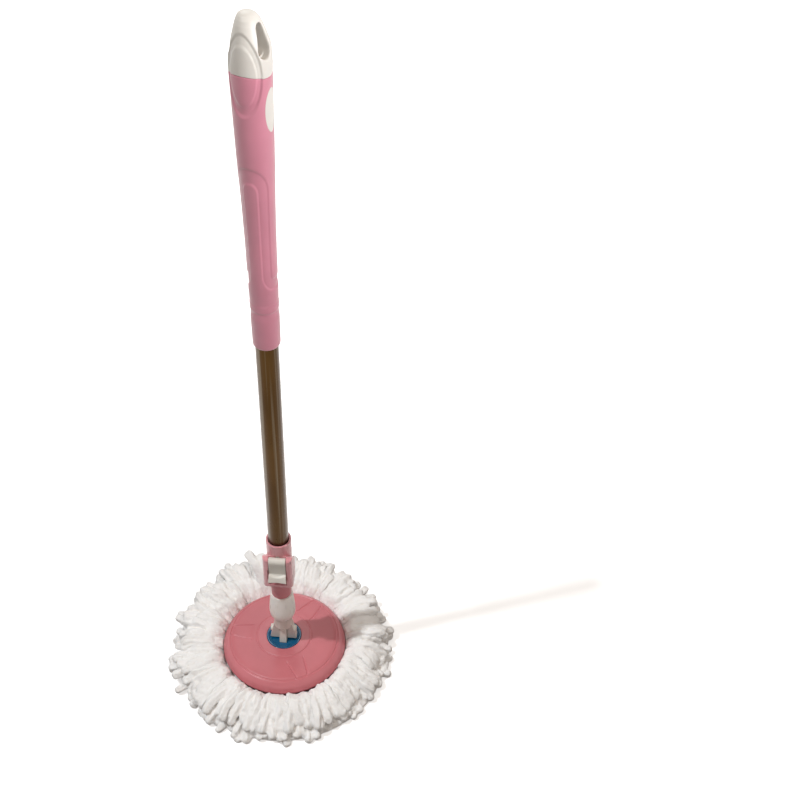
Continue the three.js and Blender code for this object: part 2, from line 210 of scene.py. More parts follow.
def cross_recess(arm, half, bottom, top):
    """Two crossed slots for a screwdriver, up the Z axis."""
    return [prism(rectangle(-x, x, -y, y), "z", bottom, top) for x, y in ((arm, half), (half, arm))]


def refine(outline, step_between):
    """More points along the closed outline; the step may differ from stretch to stretch."""
    out = []
    for start, end in zip(outline, outline[1:] + outline[:1]):
        count = max(1, math.ceil(math.dist(start, end) / step_between(start, end)))
        out += [[a + (b - a) * k / count for a, b in zip(start, end)] for k in range(count)]
    return out


def combine(base, tools, operation):
    """Joins tools to a piece, cuts them out of it or keeps what they share, and removes them."""
    for tool in tools:
        step = base.modifiers.new("boolean", "BOOLEAN")
        step.operation = operation
        step.solver = "EXACT"
        step.object = tool
    settle(base)
    for tool in tools:
        bpy.data.objects.remove(tool)
    return base


def cut(piece, *tools):
    return combine(piece, tools, "DIFFERENCE")


def moulded(piece, voxel, passes):
    """Turns hard unions into one moulded skin with softened edges."""
    remesh = piece.modifiers.new("skin", "REMESH")
    remesh.mode = "VOXEL"
    remesh.voxel_size = voxel * MM
    remesh.use_smooth_shade = True
    soften(piece, passes)
    return settle(piece)


def soften(piece, passes, group=""):
    """Adds a smoothing step, over the whole piece or by the weights of a vertex group."""
    step = piece.modifiers.new("soften", "SMOOTH")
    step.factor = 0.5
    step.iterations = passes
    step.vertex_group = group


def smoothstep(x, start, end):
    t = np.clip((x - start) / (end - start), 0, 1)
    return t * t * (3 - 2 * t)


def coordinates(piece):
    """The piece's vertices in millimetres."""
    flat = np.zeros(len(piece.data.vertices) * 3)
    piece.data.vertices.foreach_get("co", flat)
    return flat.reshape(-1, 3) / MM


def set_coordinates(piece, points):
    piece.data.vertices.foreach_set("co", (points * MM).ravel())
    piece.data.update()


def polar(reach, angle, height):
    """Points from their radius, angle about Z and height."""
    return np.stack([reach * np.cos(angle), reach * np.sin(angle), height], -1)


def spin_about_z(points, angle):
    cos, sin = math.cos(angle), math.sin(angle)
    return points @ np.array([[cos, sin, 0], [-sin, cos, 0], [0, 0, 1]])


def smooth_noise(points, scale, seed):
    """Value noise in about -1 to 1, the same on every run."""
    grid = np.floor(points / scale).astype(np.int64)
    part = points / scale - grid
    part = part * part * (3 - 2 * part)
    total = np.zeros(len(points))
    for corner in np.ndindex(2, 2, 2):
        weight = np.prod(np.abs(1 - np.array(corner) - part), axis=1)
        total += weight * lattice(grid + corner, seed)
    return total


def lattice(cell, seed):
    """A steady random number from -1 to 1 for each whole-number cell, from a mix of large primes."""
    mixed = cell[:, 0] * 73856093 ^ cell[:, 1] * 19349663 ^ cell[:, 2] * 83492791 ^ seed * 2654435761
    mixed = (mixed ^ (mixed >> 13)) * 1274126177 & 0x7FFFFFFF
    return (mixed ^ (mixed >> 16)) % 65536 / 32768 - 1


def add(piece, body, slot, *nodes, look=None):
    """Rides the piece on its body and lets it stand for its CAD nodes. A look may differ from the slot's."""
    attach(piece, body)
    if nodes:
        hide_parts(*nodes)
    piece.data.materials.clear()
    piece.data.materials.append(MATERIALS[look or slot])
    return piece


# ---- materials
class Shader:
    """A small builder for one node material."""

    def __init__(self, name):
        self.material = bpy.data.materials.new(name)
        self.material.use_nodes = True
        self.tree = self.material.node_tree
        self.surface = self.tree.nodes["Principled BSDF"]
        self.place = self.node("ShaderNodeTexCoord").outputs["Object"]

    def node(self, kind, **inputs):
        made = self.tree.nodes.new(kind)
        for name, value in inputs.items():
            self.feed(made.inputs[name.replace("_", " ")], value)
        return made

    def feed(self, socket, value):
        if isinstance(value, bpy.types.NodeSocket):
            self.tree.links.new(value, socket)
        else:
            socket.default_value = value

    def set(self, **inputs):
        for name, value in inputs.items():
            self.feed(self.surface.inputs[name.replace("_", " ")], value)
        return self

    def math(self, operation, first, second=0.0):
        made = self.tree.nodes.new("ShaderNodeMath")
        made.operation = operation
        self.feed(made.inputs[0], first)
        self.feed(made.inputs[1], second)
        return made.outputs[0]

    def radial_place(self, around, outward_share):
        """Coordinates that run round the Z axis, outward from it and up, to draw streaks outward."""
        split = self.node("ShaderNodeSeparateXYZ", Vector=self.place).outputs
        turn = self.math("ARCTAN2", split["Y"], split["X"])
        flat = self.node("ShaderNodeCombineXYZ", X=split["X"], Y=split["Y"]).outputs[0]
        reach = self.tree.nodes.new("ShaderNodeVectorMath")
        reach.operation = "LENGTH"
        self.feed(reach.inputs[0], flat)
        return self.node("ShaderNodeCombineXYZ", X=self.math("MULTIPLY", turn, around),
                         Y=self.math("MULTIPLY", reach.outputs["Value"], outward_share),
                         Z=split["Z"]).outputs[0]

    def noise(self, scale, detail=3.0, stretch=None, place=None):
        place = self.place if place is None else place
        if stretch:
            mapping = self.node("ShaderNodeMapping", Vector=place, Scale=stretch)
            place = mapping.outputs["Vector"]
        made = self.node("ShaderNodeTexNoise", Vector=place, Scale=scale, Detail=detail)
        return made.outputs["Fac"]

    def ramp(self, value, *stops):
        """Colours or grey levels at places from 0 to 1."""
        made = self.node("ShaderNodeValToRGB", Fac=value)
        elements = made.color_ramp.elements
        while len(elements) < len(stops):
            elements.new(0.5)
        for element, (position, color) in zip(elements, stops):
            element.position = position
            element.color = grey(color) if isinstance(color, (int, float)) else (*color, 1)
        return made.outputs["Color"]

    def mix(self, share, first, second):
        """Mixes two colours, on the sockets that the Mix node keeps for colours."""
        made = self.tree.nodes.new("ShaderNodeMix")
        made.data_type = "RGBA"
        for index, value in zip((0, 6, 7), (share, first, second)):
            self.feed(made.inputs[index], (*value, 1) if isinstance(value, tuple) else value)
        return made.outputs[2]

    def bump(self, height, distance, strength=1.0, onto=None):
        made = self.node("ShaderNodeBump", Height=height, Distance=distance, Strength=strength)
        if onto is not None:
            self.feed(made.inputs["Normal"], onto)
        return made.outputs["Normal"]


def grey(level):
    return (level, level, level, 1)


def shade(color, factor):
    return tuple(c * factor for c in color)


def plastic(name, color, roughness, grain, scatter=0.0, coat=0.0, haze=0.0):
    """Moulded plastic: faint flow marks in its colour, a spark-eroded grain, worn and dusty patches."""
    s = Shader(name)
    flow = s.noise(18.0, 4.0)
    tint = s.mix(s.ramp(flow, (0.35, 0.0), (0.7, 1.0)), shade(color, 0.93), shade(color, 1.05))
    scuff = s.noise(240.0, 6.0, stretch=(1.0, 1.0, 0.25))
    gloss = s.ramp(scuff, (0.3, roughness - 0.06), (0.75, roughness + 0.08))
    fine = s.noise(2600.0, 2.0)
    s.set(Base_Color=tint, Roughness=gloss, Normal=s.bump(fine, grain), IOR=1.5)
    s.set(Subsurface_Weight=scatter, Subsurface_Scale=0.002, Subsurface_Radius=(1.0, 0.7, 0.6))
    s.set(Coat_Weight=coat, Coat_Roughness=0.12, Sheen_Weight=haze, Sheen_Roughness=0.45)
    return s.material


def tube_steel():
    """Thin stainless tube with a brown cast, drawn lines, lighter painted reflection streaks along it, and
    faint smears.
    """
    s = Shader("tube_steel")
    lines = s.noise(900.0, 3.0, stretch=(1.0, 1.0, 0.01))
    streaks = s.noise(170.0, 2.0, stretch=(1.0, 1.0, 0.012))
    smears = s.noise(30.0, 5.0, stretch=(1.0, 1.0, 0.3))
    brown = s.mix(s.ramp(smears, (0.3, 0.0), (0.75, 1.0)), (0.042, 0.02, 0.005), (0.078, 0.04, 0.012))
    # Painted reflection: the streaks lighten the colour in long bands along the tube, standing in for
    # reflections.
    color = s.mix(s.ramp(streaks, (0.56, 0.0), (0.72, 0.75)), brown, (0.15, 0.12, 0.085))
    gloss = s.ramp(smears, (0.25, 0.2), (0.8, 0.34))
    s.set(Base_Color=color, Metallic=1.0, Roughness=gloss, Normal=s.bump(lines, 0.000012))
    return s.material


def bright_steel():
    """Zinc-plated and stainless small parts: grey, with fine lines and faint smears along them."""
    s = Shader("bright_steel")
    lines = s.noise(1500.0, 3.0, stretch=(1.0, 1.0, 0.05))
    smears = s.noise(120.0, stretch=(1.0, 1.0, 0.03))
    color = s.ramp(smears, (0.3, (0.3, 0.305, 0.31)), (0.8, (0.36, 0.36, 0.36)))
    gloss = s.ramp(lines, (0.3, 0.2), (0.7, 0.32))
    s.set(Base_Color=color, Metallic=1.0, Roughness=gloss, Normal=s.bump(lines, 0.00001))
    return s.material


def yarn_white():
    """Fluffy microfibre yarn: short pile streaked outward along the strands, with painted warm shade in its
    hollows.
    """
    s = Shader("yarn_white")
    along = s.radial_place(0.1, 0.22)
    patches = s.noise(30.0, 4.0)
    streaks = s.noise(330.0, 4.0, place=along)
    pile = s.noise(1300.0, 4.0)
    base = s.ramp(patches, (0.3, (0.88, 0.875, 0.87)), (0.7, (0.935, 0.935, 0.935)))
    streaked = s.mix(s.ramp(streaks, (0.3, 0.4), (0.55, 0.0)), base, (0.82, 0.80, 0.785))
    # Painted shade: where pointiness finds a hollow, the colour turns darker and warmer.
    hollow = s.ramp(s.node("ShaderNodeNewGeometry").outputs["Pointiness"], (0.41, 0.8), (0.49, 0.0))
    color = s.mix(hollow, streaked, (0.75, 0.68, 0.61))
    rough = s.bump(streaks, 0.0009, 0.7)
    s.set(Base_Color=color, Roughness=1.0, Specular_IOR_Level=0.05)
    s.set(Normal=s.bump(pile, 0.0005, 0.7, onto=rough))
    s.set(Sheen_Weight=0.2, Sheen_Roughness=0.6)
    s.set(Subsurface_Weight=0.4, Subsurface_Scale=0.004, Subsurface_Radius=(1.0, 0.95, 0.9))
    return s.material


# Colour, roughness and depth of grain in metres, then scatter, coat and haze where there is any.
PLASTICS = {
    "grip_pink": ((0.62, 0.225, 0.3), 0.4, 0.00003, 0.06, 0.0, 0.4),
    "plate_rose": ((0.56, 0.158, 0.183), 0.34, 0.00003, 0.04),
    # The collar's rose is a lighter copy of plate_rose: a painted highlight for the light its block and
    # cheeks catch.
    "collar_rose_painted_highlight": ((0.7, 0.29, 0.325), 0.28, 0.00003, 0.04, 0.0, 0.4),
    "white_plastic": ((0.71, 0.68, 0.625), 0.38, 0.00002, 0.08),
    "nylon": ((0.88, 0.85, 0.81), 0.3, 0.00001, 0.3),
    "hub_blue": ((0.0, 0.088, 0.2), 0.15, 0.000006, 0.0, 0.2),
    "ring_black": ((0.012, 0.012, 0.014), 0.45, 0.00003),
}
MATERIALS = {name: plastic(name, *look) for name, look in PLASTICS.items()}
MATERIALS |= {make.__name__: make() for make in (yarn_white, tube_steel, bright_steel)}


# ---- refill
RING_INNER = 40.5
RING_LIP = 0.6
HOLE_CIRCLE = 67
HOLE_HALF_LONG, HOLE_HALF_WIDE = 5.2, 3.6


def refill_ring():
    """The black ring, with an oval hole for each bundle and a raised lip round both edges."""
    inner, outer = RING_INNER, high("refill_ring")[0]
    bottom, top = ends("refill_ring")
    section = rounded([
        [inner, bottom], [outer, bottom], [outer, top], [outer - 2.5, top], [outer - 3.2, top - RING_LIP],
        [inner + 4.2, top - RING_LIP], [inner + 3.4, top], [inner, top],
    ], 0.5, 4)
    ring = turned("refill_ring_moulded", section, 200, 50)
    turns = [2 * math.pi * i / 24 for i in range(24)]
    oval = [[HOLE_HALF_LONG * math.cos(t), HOLE_HALF_WIDE * math.sin(t)] for t in turns]
    holes = []
    for i in range(BUNDLES):
        hole = prism(oval, "z", bottom - 5, top + 5)
        points = coordinates(hole)
        points[:, 1] -= HOLE_CIRCLE
        set_coordinates(hole, spin_about_z(points, 2 * math.pi * i / BUNDLES + math.pi / 2))
        holes.append(hole)
    add(sharpen(cut(ring, *holes), 40), "refill", "ring_black", "refill_ring")


# How a layer of strands lies: radii of its roots and of its tips, each from and to, its heights at
# the STATIONS, which are shares of the way from root to tip, and the radius of its strands.
YarnLayer = namedtuple("YarnLayer", "start tip heights thickness")
STATIONS = (0.0, 0.2, 0.32, 0.48, 0.66, 0.84, 1.0)
LAYERS = (
    YarnLayer((50, 58), (137, 147), (4.5, 4.5, 5, 6, 6, 5.4, 5.2), 5.2),
    YarnLayer((52, 60), (132, 146), (9, 9.5, 13, 17, 16, 12, 8.5), 5.4),
    YarnLayer((60, 66), (126, 142), (12, 14, 22, 27, 26, 20.5, 13.5), 5.5),
    YarnLayer((72, 76), (114, 138), (12, 22, 29, 31, 29, 24, 15), 5.0),
)
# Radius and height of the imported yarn's top.
BED = ((62, 11), (79, 15), (86, 19), (100, 20), (115, 17), (127, 11), (134, 5))
BED_SLICES = 7
LAYER_STRANDS = 5
STRAND_RINGS = 60
STRAND_SIDES = 24
YARN_VOXEL = 0.95
YARN_LUMP, PILE_LUMP, LUMP_DEPTH = 3.0, 2.6, 0.35
YARN_SEED, FELT_SEED = 4100, 500
RIDGES, RIDGE_DEPTH = 4, 0.13
# Random spreads: a strand's own lean and lift, how far it wanders, and what the strands of a lock share.
OWN_LEAN, OWN_LIFT, WANDER = math.radians(1.1), 0.9, math.radians(0.8)
LOCK = {"longer": 3.2, "lean": math.radians(1.6), "lift": 1.3}
# How much higher the yarn stands at the back, halfway along the strands and further on.
STAND = (7, 13)
PITCH = 2 * math.pi / BUNDLES
RING_EDGE = high("refill_ring")[0] + 1.0
RING_UNDER = low("refill_ring")[2] - 0.3
RIM = high("plate_cover")[0] + 0.5
# The standing tuft: its bundle, and how much higher its strands reach than their neighbours.
TUFT = {"bundle": 6, "lift": 22}


def fluff(angle):
    """How far the yarn at an angle stands up: 0 where it is pressed flat, 1 at the back."""
    return smoothstep(np.sin(angle - 0.25), -0.55, 0.85)


def reach_bias(angle):
    """How much further the yarn reaches at an angle: it lies longer towards the back left."""
    return 0.3 - 4.7 * math.cos(angle) + 4.5 * math.sin(angle)


def strand(layer, center, lock, dice):
    """One looped strand of yarn as rows of points, thick and lumpy, with a rounded tip."""
    t = np.linspace(0, 1, STRAND_RINGS)
    start = dice.uniform(*layer.start)
    tip = dice.uniform(*layer.tip) + lock["longer"] + reach_bias(center)
    angle = strand_angle(t, center, lock, dice)
    lift = strand_lift(t, layer, center, lock, dice)
    thick = strand_thickness(t, layer, tip - start, dice)
    reach = start + (tip - start) * t
    return strand_skin(t, polar(reach, angle, lift), thick, dice)


def strand_angle(t, center, lock, dice):
    """The strand fans out a little from its hole, leans to one side and wanders."""
    lean = dice.normal(0, OWN_LEAN) + lock["lean"]
    angle = center + lock["spread"] * (0.72 + 0.28 * smoothstep(t, 0, 0.9)) + lean * t * t
    angle += WANDER * np.sin(2 * np.pi * (t * dice.uniform(1.0, 1.9) + dice.random())) * t
    return angle


def strand_lift(t, layer, center, lock, dice):
    """Heights along the strand: its layer's, more at the back where the yarn stands up, and a slow wave."""
    lift = np.interp(t, STATIONS, layer.heights)
    kernel = np.hanning(11) / np.hanning(11).sum()
    lift = np.convolve(np.pad(lift, 5, mode="edge"), kernel, mode="valid")
    stand = fluff(center) * layer.heights[4] / LAYERS[2].heights[4]
    lift += stand * (STAND[0] * smoothstep(t, 0.15, 0.5) + STAND[1] * smoothstep(t, 0.5, 1.0))
    lift += (dice.normal(0, OWN_LIFT) + lock["lift"]) * smoothstep(t, 0.3, 0.7)
    lift += 0.8 * np.sin(2 * np.pi * (1.6 * t + dice.random())) * smoothstep(t, 0.35, 0.6)
    return lift


def strand_thickness(t, layer, length, dice):
    """Radius along the strand, thinner at its root and rounded off at its tip."""
    thick = layer.thickness * dice.uniform(0.85, 1.15) * (0.66 + 0.34 * smoothstep(t, 0.1, 0.45))
    thick *= 1 + 0.05 * np.sin(2 * np.pi * (t * dice.uniform(3, 6) + dice.random()))
    cap = np.clip((1 - t) * length / (thick[-1] * 1.15), 0, 1)
    thick *= np.sqrt(1 - (1 - cap) ** 2) + 0.02
    return thick


def strand_skin(t, path, thick, dice):
    """Rings of points round the path, with soft ridges that twist along it."""
    forward = np.gradient(path, axis=0)
    forward /= np.linalg.norm(forward, axis=1, keepdims=True)
    side = np.cross(forward, [0, 0, 1])
    side /= np.linalg.norm(side, axis=1, keepdims=True)
    up = np.cross(side, forward)
    around = np.linspace(0, 2 * np.pi, STRAND_SIDES, endpoint=False)
    across = np.cos(around)[None, :, None] * side[:, None] + np.sin(around)[None, :, None] * up[:, None]
    turn = RIDGES * around[None, :] + dice.uniform(0, 6) + dice.uniform(2, 5) * t[:, None]
    ridges = 1 + RIDGE_DEPTH * np.cos(turn)
    return (path[:, None] + (thick[:, None] * ridges)[:, :, None] * across).reshape(-1, 3)


def bed(center):
    """The close-packed yarn under the strands, so that no gap between them goes deep."""
    half = PITCH * 0.56
    reach = np.interp(np.linspace(0, len(BED) - 1, 25), range(len(BED)), [r for r, _ in BED])
    top = np.interp(reach, *zip(*BED))
    top = top + fluff(center) * (6 * smoothstep(reach, 84, 105) + 10 * smoothstep(reach, 110, 132))
    rows = []
    for angle in np.linspace(center - half, center + half, BED_SLICES):
        for height in (top, 0 * top + 1.5):
            order = slice(None) if height is top else slice(None, None, -1)
            rows.append(polar(reach, angle, height)[order])
    return np.vstack(rows), closed_grid(BED_SLICES, 2 * len(reach))


def keep_clear(points):
    """Presses yarn down under the ring and out from the plate's rim."""
    reach = np.hypot(points[:, 0], points[:, 1])
    ceiling = RING_UNDER + 3.5 * smoothstep(reach, RING_EDGE, RIM)
    high_up = points[:, 2] > ceiling
    outward_push = high_up & (reach > RING_EDGE + 1) & (reach < RIM)
    points[outward_push, :2] *= (RIM / reach[outward_push])[:, None]
    pressed = high_up & (reach <= RING_EDGE + 1)
    points[pressed, 2] = ceiling[pressed]
    points[:, 2] = np.maximum(points[:, 2], 0.0)
    return points


def hole_tuft(center):
    """The tuft of yarn that fills the bundle's hole in the ring."""
    top = high("refill_ring")[2] - 0.1
    rows, sides = 14, 20
    down = np.linspace(0.03, math.pi - 0.03, rows)[:, None]
    around = np.linspace(0, 2 * np.pi, sides, endpoint=False)[None, :]
    x = 3.3 * np.sin(down) * np.cos(around) + HOLE_CIRCLE
    y = 4.8 * np.sin(down) * np.sin(around)
    z = np.minimum(6.0 * np.cos(down) + 0 * around + top - 6.0, top)
    points = np.stack([x, y, z], -1).reshape(-1, 3)
    return spin_about_z(points, center), closed_grid(rows, sides)


def yarn_locks(index, layer, dice):
    """The strands of a layer, in locks of two that lean and reach alike."""
    tuft = TUFT["lift"] if index == TUFT["bundle"] and layer is LAYERS[2] else 0
    shared = None
    for k in range(LAYER_STRANDS):
        if k % 2 == 0:
            shared = {key: dice.normal(0, spread) for key, spread in LOCK.items()}
        spread = PITCH * ((k + 0.5) / LAYER_STRANDS - 0.5) * 1.12
        yield {**shared, "spread": spread, "lift": shared["lift"] + (tuft if k > 2 else 0)}


def yarn_bundle(index):
    """One bundle of looped strands in layers over a packed bed, felted into one fluffy skin."""
    dice = np.random.default_rng(YARN_SEED + index)
    center = PITCH * index
    shapes = [bed(center), hole_tuft(center)]
    for layer in LAYERS:
        for lock in yarn_locks(index, layer, dice):
            points = keep_clear(strand(layer, center, lock, dice))
            shapes.append((points, closed_grid(STRAND_RINGS, STRAND_SIDES)))
    vertices, faces, offset = [], [], 0
    for points, corners in shapes:
        vertices.append(points)
        faces += [[corner + offset for corner in face] for face in corners]
        offset += len(points)
    piece = new_object(f"yarn_{index + 1:02d}", np.vstack(vertices), faces)
    moulded(piece, YARN_VOXEL, 6)
    felt(piece, FELT_SEED + index)
    add(piece, "refill", "yarn_white", f"yarn_bundle_{index + 1:02d}")


def felt(piece, seed):
    """Breaks the skin up into soft lumps and short pile."""
    points = coordinates(piece)
    normals = np.zeros(len(points) * 3)
    piece.data.vertex_normals.foreach_get("vector", normals)
    normals = normals.reshape(-1, 3)
    reach = np.hypot(points[:, 0], points[:, 1])
    along = np.stack([np.arctan2(points[:, 1], points[:, 0]) * 100, reach * 0.3, points[:, 2]], 1)
    lumps = LUMP_DEPTH * smooth_noise(along, YARN_LUMP, seed)
    pile = LUMP_DEPTH * smooth_noise(points, PILE_LUMP, seed + 1)
    points += normals * (lumps + pile)[:, None]
    set_coordinates(piece, keep_clear(points))


# ---- plate
PETAL_TURNS = tuple(math.radians(a) for a in (57.5, 177.5, 297.5))
PETAL = {"half_in": 11.8, "half_out": 7.4, "start": 38, "end": 70, "corner": 3.4}
# Width and depth of each pressed line, and the radii of the two circles.
PETAL_LINE, OUTER_LINE, INNER_LINE = (1.9, 1.35), (1.6, 1.0), (1.6, 0.35)
OUTER_CIRCLE, INNER_CIRCLE = 70.2, 36.0


def outline_distance(x, y, half_in, half_out, start, end, corner):
    """Distance from the outline of a trapezoid with rounded corners; x runs outward."""
    half = half_in + (half_out - half_in) * np.clip((x - start) / (end - start), -0.2, 1.2) - corner
    middle = (start + end) / 2
    dx = np.abs(x - middle) - ((end - start) / 2 - corner)
    dy = np.abs(y) - half
    inside = np.minimum(np.maximum(dx, dy), 0)
    outside = np.hypot(np.maximum(dx, 0), np.maximum(dy, 0))
    return inside + outside - corner


def line_groove(distance, width, depth):
    return -depth * (1 - smoothstep(np.abs(distance), 0.25 * width, 0.75 * width))


def petal_distance(points):
    """Distance from the nearest petal's outline, and below 0 inside it."""
    nearest = np.full(len(points), 50.0)
    for turn in PETAL_TURNS:
        local = spin_about_z(points, -turn)
        nearest = np.minimum(nearest, outline_distance(local[:, 0], local[:, 1], **PETAL))
    return nearest


def plate_cover():
    """The domed cover: a sunk step, two pressed circles and three petal outlines."""
    edge = high("plate_cover")[0]
    rim, top = ends("plate_cover")
    crown = rounded([
        [22.8, top - 2.2], [22.8, top], [34.2, top, 0.8], [35.4, top - 1.0, 0.3], [67, top - 2.5, 20],
        [72.5, top - 4.6, 6], [77.6, top - 9.6, 6], [edge, top - 17, 4], [edge, rim],
        [edge - 2.2, rim], [edge - 2.2, top - 17, 3], [75, top - 10.8, 5],
        [71, top - 6.9, 5], [65.5, top - 4.9, 8],
    ], 0.5, 7)
    cover = turned("plate_cover_moulded", refine(crown, cover_step), 720, 60)
    points = coordinates(cover)
    reach = np.hypot(points[:, 0], points[:, 1])
    petal = petal_distance(points)
    inside = 0.3 * (1 - smoothstep(petal, -1.2, 0.0))
    relief = (line_groove(petal, *PETAL_LINE) - inside) * smoothstep(reach, 40, 46)
    relief += line_groove(reach - OUTER_CIRCLE, *OUTER_LINE) * smoothstep(petal, 1.5, 4.0)
    relief += line_groove(reach - INNER_CIRCLE, *INNER_LINE)
    points[:, 2] += relief * (points[:, 2] > mid_wall(reach))
    set_coordinates(cover, points)
    add(cover, "plate", "plate_rose", "plate_cover")


def cover_step(start, end):
    """Close steps on the upper face, where the relief is, and long ones elsewhere."""
    upper = all(point[1] > mid_wall(point[0]) for point in (start, end))
    shown = upper and 34 < end[0] < high("plate_cover")[0] - 4 and start[0] > 34
    return 0.5 if shown else 4.0


def mid_wall(reach):
    """Height midway through the cover's wall at a radius."""
    top = high("plate_cover")[2]
    return np.interp(reach, (22, 66, 72, 77), (top - 1.1, top - 3.6, top - 6.2, top - 11))


# The radii of a screw's hole and of the pocket for its head.
SCREW_HOLE, SCREW_POCKET = 2.1, 4.3
SCREW_CIRCLE = 17
SCREW_ANGLES = tuple(math.radians(90 + 120 * i) for i in range(3))


def at_screw(piece, angle):
    points = coordinates(piece)
    set_coordinates(piece, points + [SCREW_CIRCLE * math.cos(angle), SCREW_CIRCLE * math.sin(angle), 0])
    return piece


def plate_base():
    """The base under the cover: a boss that fills the ring, a basket socket, a groove and screw pockets."""
    bottom, lip = low("plate_base")[2], high("plate_base")[0]
    boss = RING_INNER - 0.5
    outline = rounded([
        [0, bottom], [boss, bottom, 1.2], [boss, 20.3], [lip, 20.3, 0.6], [lip, 27, 0.6],
        [lip - 2.4, 27, 0.6], [lip - 2.4, 23], [26, 23], [26, 38, 0.8], [0, 38],
    ], 0.4, 5, closed=False)
    base = turned("plate_base_moulded", outline, 160, 35)
    seat = cylinder(13.4, 33.7, 40, 64)
    socket = turned("socket", [[0, 12], [12.2, 12], [11, 14.8], [11, 22], [0, 22]], 96)
    tools = [seat, socket]
    for angle in SCREW_ANGLES:
        tools.append(at_screw(cylinder(SCREW_HOLE, 12, 40, 32), angle))
        tools.append(at_screw(cylinder(SCREW_POCKET, 12, 17, 48), angle))
    tools.append(turned("groove", [[30, 12], [36, 12], [35.4, 14.8], [30.6, 14.8]], 160))
    add(sharpen(cut(base, *tools), 35), "plate", "plate_rose", "plate_base")


def plate_screw(index, angle):
    """A pan-head screw with a cross recess, driven from below."""
    node = f"plate_screw_{index + 1}"
    bottom, tip = ends(node)
    outline = [[0, bottom], [2.6, bottom], [3.6, bottom + 0.5], [4, bottom + 1.3], [4, 16.7], [1.8, 16.7]]
    thread = [[1.8 - 0.28 * (k % 2), 17.2 + 0.55 * k] for k in range(40)]
    screw = turned(f"{node}_cut", outline + thread + [[1.5, tip - 1.4], [0, tip]], 40, 30)
    cut(screw, *cross_recess(2.2, 0.4, 12, bottom + 1.1))
    add(sharpen(at_screw(screw, angle), 30), "plate", "bright_steel", node)


def plate_hub():
    """The glossy dish round the tongue."""
    edge = high("plate_hub")[0]
    bottom, top = ends("plate_hub")
    outline = rounded([
        [0, bottom], [21, bottom], [21, 42.2], [edge, 42.2], [edge, top, 1.3], [20.4, top, 0.9],
        [19.4, top - 1.3, 0.8], [17.2, top - 1.5, 0.7], [16.4, 43, 0.9], [0, 43],
    ], 0.5, 7, closed=False)
    hub = turned("plate_hub_glossy", outline, 160, 40)
    slot = prism(rounded(rectangle(-4.8, 4.8, -11.6, 11.6), 0.6), "z", 36, 44)
    holes = [at_screw(cylinder(SCREW_HOLE, 36, 41.5, 32), angle) for angle in SCREW_ANGLES]
    add(sharpen(cut(hub, slot, *holes), 40), "plate", "hub_blue", "plate_hub")


HINGE_HEIGHT = 59.5
HINGE_BORE = 2.3


def hub_post():
    """The white tongue that the fork straddles, on its flange under the hub."""
    side = [[-11.3, 37], [11.3, 37], [11.3, 43.5]] + arc(0, HINGE_HEIGHT, 7.5, 10, 170, 24) + [[-11.3, 43.5]]
    tongue = prism(rounded(side, 0.8, 3), "x", -4.5, 4.5, "hub_post_moulded")
    combine(tongue, [cylinder(13, 34, 38, 96)], "UNION")
    cut(tongue, rod_shape("x", HINGE_BORE, -6, 6, 0, HINGE_HEIGHT))
    moulded(tongue, 0.3, 4)
    add(tongue, "plate", "white_plastic", "hub_post")


# ---- spindle
def fork():
    """The white fork: a round neck, two flared ears with pin bosses, and the shank inside the tube."""
    outline = [[0, 69.3], [11.0, 69.3], [11.75, 70], [11.75, 88], [9.9, 88], [9.9, 160], [0, 160]]
    neck = turned("fork_moulded", outline)
    ear = [[5, 45], [16.2, 45], [17, 46.5], [16.4, 50], [14.2, 60], [12.6, 68], [12.0, 73], [5, 73]]
    parts = []
    for side, inner_end, outer_end in ((-1, -16.6, -8), (1, 8, 16.6)):
        parts.append(prism([[side * x, z] for x, z in ear], "y", -4.7, 4.7))
        parts.append(rod_shape("x", 4.5, inner_end, outer_end, 0, HINGE_HEIGHT))
    combine(neck, parts, "UNION")
    cut(neck, rod_shape("x", HINGE_BORE, -20, 20, 0, HINGE_HEIGHT))
    moulded(neck, 0.35, 5)
    add(neck, "spindle", "white_plastic", "fork")


def steel_pin(node, body, radii, ease, place, segments):
    """A turned steel pin along X. Its radii are those of its body and of its eased ends."""
    radius, nose = radii
    end = high(node)[0]
    outline = [[0, -end], [nose, -end], [radius, -end + ease], [radius, end - ease], [nose, end], [0, end]]
    pin = turned(f"{node}_turned", outline, segments)
    set_coordinates(pin, coordinates(pin)[:, [2, 1, 0]] + [0, *place])
    outward(pin)
    add(pin, body, "bright_steel", node)


def bulb_sleeve():
    """The natural nylon sleeve, with faint rings left by its mould."""
    inner = 10.2
    bottom, top = ends("bulb_sleeve")
    outer = rounded([
        [11.9, bottom], [14.2, 90.6, 4], [16.1, 95, 5], [16.7, 100, 6], [16.4, 107, 8],
        [15.6, 117, 10], [14.7, 126, 8], [14, top, 0.8],
    ], 1, 8, closed=False)
    outer = refine(outer + [[inner, top], [inner, bottom]], lambda start, end: 0.6)
    ringed = [[r + 0.05 * math.sin(z * 2.4) * (r > 13 and z > 92), z] for r, z in outer]
    add(turned("bulb_sleeve_moulded", ringed, 128), "spindle", "nylon", "bulb_sleeve")


FERRULE_SCREW_HEIGHT = 146


def ferrule():
    radius = high("ferrule")[0]
    bottom, top = ends("ferrule")
    outline = rounded([
        [11.3, bottom], [radius - 0.7, bottom, 0.6], [radius, bottom + 1.4, 0.8], [radius, top, 0.5],
        [11.3, top],
    ], 0.2, 6)
    ferrule_tube = turned("ferrule_moulded", outline, 128)
    hole = rod_shape("y", 1.9, 5, 15, 0, FERRULE_SCREW_HEIGHT)
    add(sharpen(cut(ferrule_tube, hole)), "spindle", "plate_rose", "ferrule")


